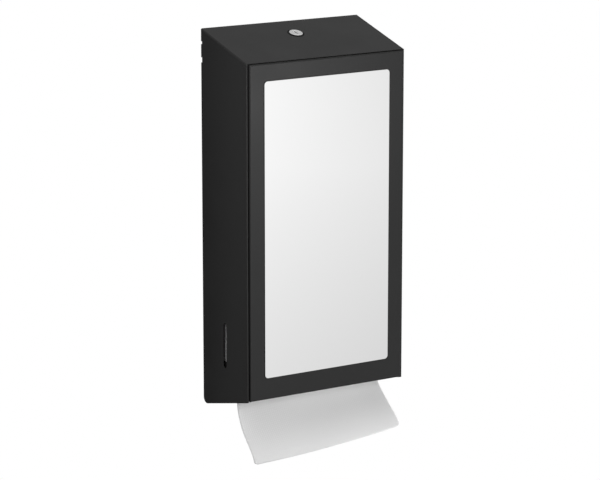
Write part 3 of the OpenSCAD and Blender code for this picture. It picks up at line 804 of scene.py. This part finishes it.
@dataclass
class Studio:
    """Camera, floor, background and lamps: white to the eye, and brighter in front than behind.

    Lengths are in metres where their name gives no unit.
    """

    yaw_deg: float = 32.445
    pitch_deg: float = 12.469
    distance: float = 4.0871
    target: Triple = (-0.00527, -0.0625, -0.04687)
    lens_mm: float = 167.0
    sensor_mm: float = 36.0
    sight: float = 100.0
    floor_z: float = -1.2
    floor_size: float = 30.0
    floor_colour: str = "e8e8e8"
    floor_fade: Pair = (8.0, 14.0)
    bright_side: Triple = (0.0, -0.8, 0.6)
    mean_level: float = 0.57
    swing: float = 0.42
    ambient: float = 0.61

    def camera(self) -> None:
        """Puts the camera where the photograph was taken from."""
        yaw, pitch = math.radians(self.yaw_deg), math.radians(self.pitch_deg)
        ahead = Vector((math.sin(yaw) * math.cos(pitch), math.cos(yaw) * math.cos(pitch), -math.sin(pitch)))
        lens = bpy.data.cameras.new("camera")
        lens.sensor_fit = "HORIZONTAL"
        lens.sensor_width = self.sensor_mm
        lens.lens = self.lens_mm
        lens.clip_end = self.sight
        eye = bpy.data.objects.new("camera", lens)
        eye.location = Vector(self.target) - ahead * self.distance
        eye.rotation_euler = ahead.to_track_quat("-Z", "Y").to_euler()
        bpy.context.scene.collection.objects.link(eye)
        bpy.context.scene.camera = eye

    def studio_level(self, tree: bpy.types.NodeTree, way: bpy.types.NodeSocket) -> bpy.types.NodeSocket:
        """Adds the nodes that give the studio's brightness in a direction.

        Args:
            tree: Tree that takes the nodes.
            way: Socket with a unit vector from the object outwards.

        Returns:
            Socket with the brightness.
        """
        facing = add(tree, "VectorMath", {0: way, 1: self.bright_side}, operation="DOT_PRODUCT")
        level = add(tree, "Math", {0: facing.outputs["Value"], 1: self.swing, 2: self.mean_level},
                    operation="MULTIPLY_ADD")
        return level.outputs["Value"]

    def ray_kinds(self, tree: bpy.types.NodeTree) -> tuple[bpy.types.NodeSocket, bpy.types.NodeSocket]:
        """Adds the nodes that tell the eye's rays from those of reflections.

        Args:
            tree: Tree that takes the nodes.

        Returns:
            Socket that is 1 for the camera's rays, also through glass, and one that is 1 for reflections.
        """
        path = add(tree, "LightPath")
        direct = add(tree, "Math", {0: path.outputs["Is Camera Ray"], 1: path.outputs["Is Transmission Ray"]},
                     operation="MAXIMUM")
        return direct.outputs["Value"], path.outputs["Is Glossy Ray"]

    def background(self) -> None:
        """Makes the world white to the camera and a graded studio to everything else."""
        world = bpy.data.worlds.new("studio")
        bpy.context.scene.world = world
        world.use_nodes = True
        tree = world.node_tree
        tree.nodes.clear()
        level = self.studio_level(tree, add(tree, "TexCoord").outputs["Generated"])
        direct, glossy = self.ray_kinds(tree)
        dimmed = add(tree, "Math", {0: level, 1: self.ambient}, operation="MULTIPLY")
        lit = add(tree, "Mix", {"Factor": glossy, "A": dimmed.outputs["Value"], "B": level})
        strength = add(tree, "Mix", {"Factor": direct, "A": lit.outputs["Result"], "B": 1.0})
        back = add(tree, "Background", {"Color": WHITE, "Strength": strength.outputs["Result"]})
        out = add(tree, "OutputWorld")
        tree.links.new(back.outputs["Background"], out.inputs["Surface"])

    def painted_floor_glow(self, tree: bpy.types.NodeTree) -> bpy.types.NodeSocket:
        """Adds the nodes that give the floor's painted glow in reflections.

        It is the studio's own, changed by the floor's grades. It fades back to the studio's before the floor
        ends, so that no edge shows in the mirror.

        Args:
            tree: Tree that takes the nodes.

        Returns:
            Socket with the brightness, white at most.
        """
        place = add(tree, "TexCoord").outputs["Object"]
        way = add(tree, "VectorMath", {0: place}, operation="NORMALIZE")
        level = self.studio_level(tree, way.outputs["Vector"])
        graded = level
        for grade in PAINTED_FLOOR_GRADES:
            graded = add(tree, "Math", {0: graded, 1: grade.gain(tree, place)},
                         operation="MULTIPLY").outputs["Value"]
        reach = add(tree, "VectorMath", {0: place}, operation="LENGTH")
        fade = add(tree, "MapRange", {"Value": reach.outputs["Value"], "From Min": self.floor_fade[0],
                                      "From Max": self.floor_fade[1]}, interpolation_type="SMOOTHSTEP")
        even = add(tree, "Mix", {"Factor": fade.outputs["Result"], "A": graded, "B": level})
        capped = add(tree, "Math", {0: even.outputs["Result"], 1: 1.0}, operation="MINIMUM")
        return capped.outputs["Value"]

    def floor(self) -> None:
        """Lays a pale floor well below the part, white to the camera, and glowing with painted light and
        shade in reflections.
        """
        bpy.ops.object.select_all(action="DESELECT")
        bpy.ops.mesh.primitive_plane_add(size=self.floor_size, location=(0, 0, self.floor_z))
        ground = bpy.context.active_object
        ground.name = "floor"
        bpy.ops.object.transform_apply(location=True)
        material, tree, surface = Finish("pale_floor").start()
        matt = add(tree, "BsdfDiffuse", {"Color": linear(self.floor_colour)})
        # Painted light and shade: in reflections the floor glows at the graded level instead of showing how
        # it is lit
        mirrored = add(tree, "Emission", {"Color": WHITE, "Strength": self.painted_floor_glow(tree)})
        white = add(tree, "Emission", {"Color": WHITE, "Strength": 1.0})
        direct, glossy = self.ray_kinds(tree)
        lit = add(tree, "MixShader", {"Fac": glossy, 1: matt.outputs["BSDF"],
                                      2: mirrored.outputs["Emission"]})
        shown = add(tree, "MixShader", {"Fac": direct, 1: lit.outputs["Shader"],
                                        2: white.outputs["Emission"]})
        tree.links.new(shown.outputs["Shader"], surface)
        ground.data.materials.append(material)

    def mirror_left_out(self) -> bpy.types.Collection:
        """Makes the collection that keeps the lamps off the mirror glass, where they would be hard patches.

        Returns:
            The collection, for the lamps' light linking.
        """
        left_out = bpy.data.collections.new("flagged_off")
        left_out.objects.link(frame["nodes"]["mirror"])
        left_out.collection_objects[0].light_linking.link_state = "EXCLUDE"
        return left_out

    def build(self) -> None:
        """Sets up everything round the part."""
        self.camera()
        self.background()
        self.floor()
        receivers = self.mirror_left_out()
        for lamp in LAMPS:
            lamp.hang(receivers)
        bpy.context.scene.view_settings.view_transform = "Standard"


def main() -> None:
    """Builds the studio, dresses the solids and adds the paper."""
    logging.basicConfig(level=logging.INFO, format="%(name)s: %(message)s")
    Studio().build()
    paint = Paint()
    paint.dress_solids()
    for maker in (TowelStack(), HangingTowel()):
        log.info("made %s", maker.build(paint).name)


if __name__ == "__main__":
    main()
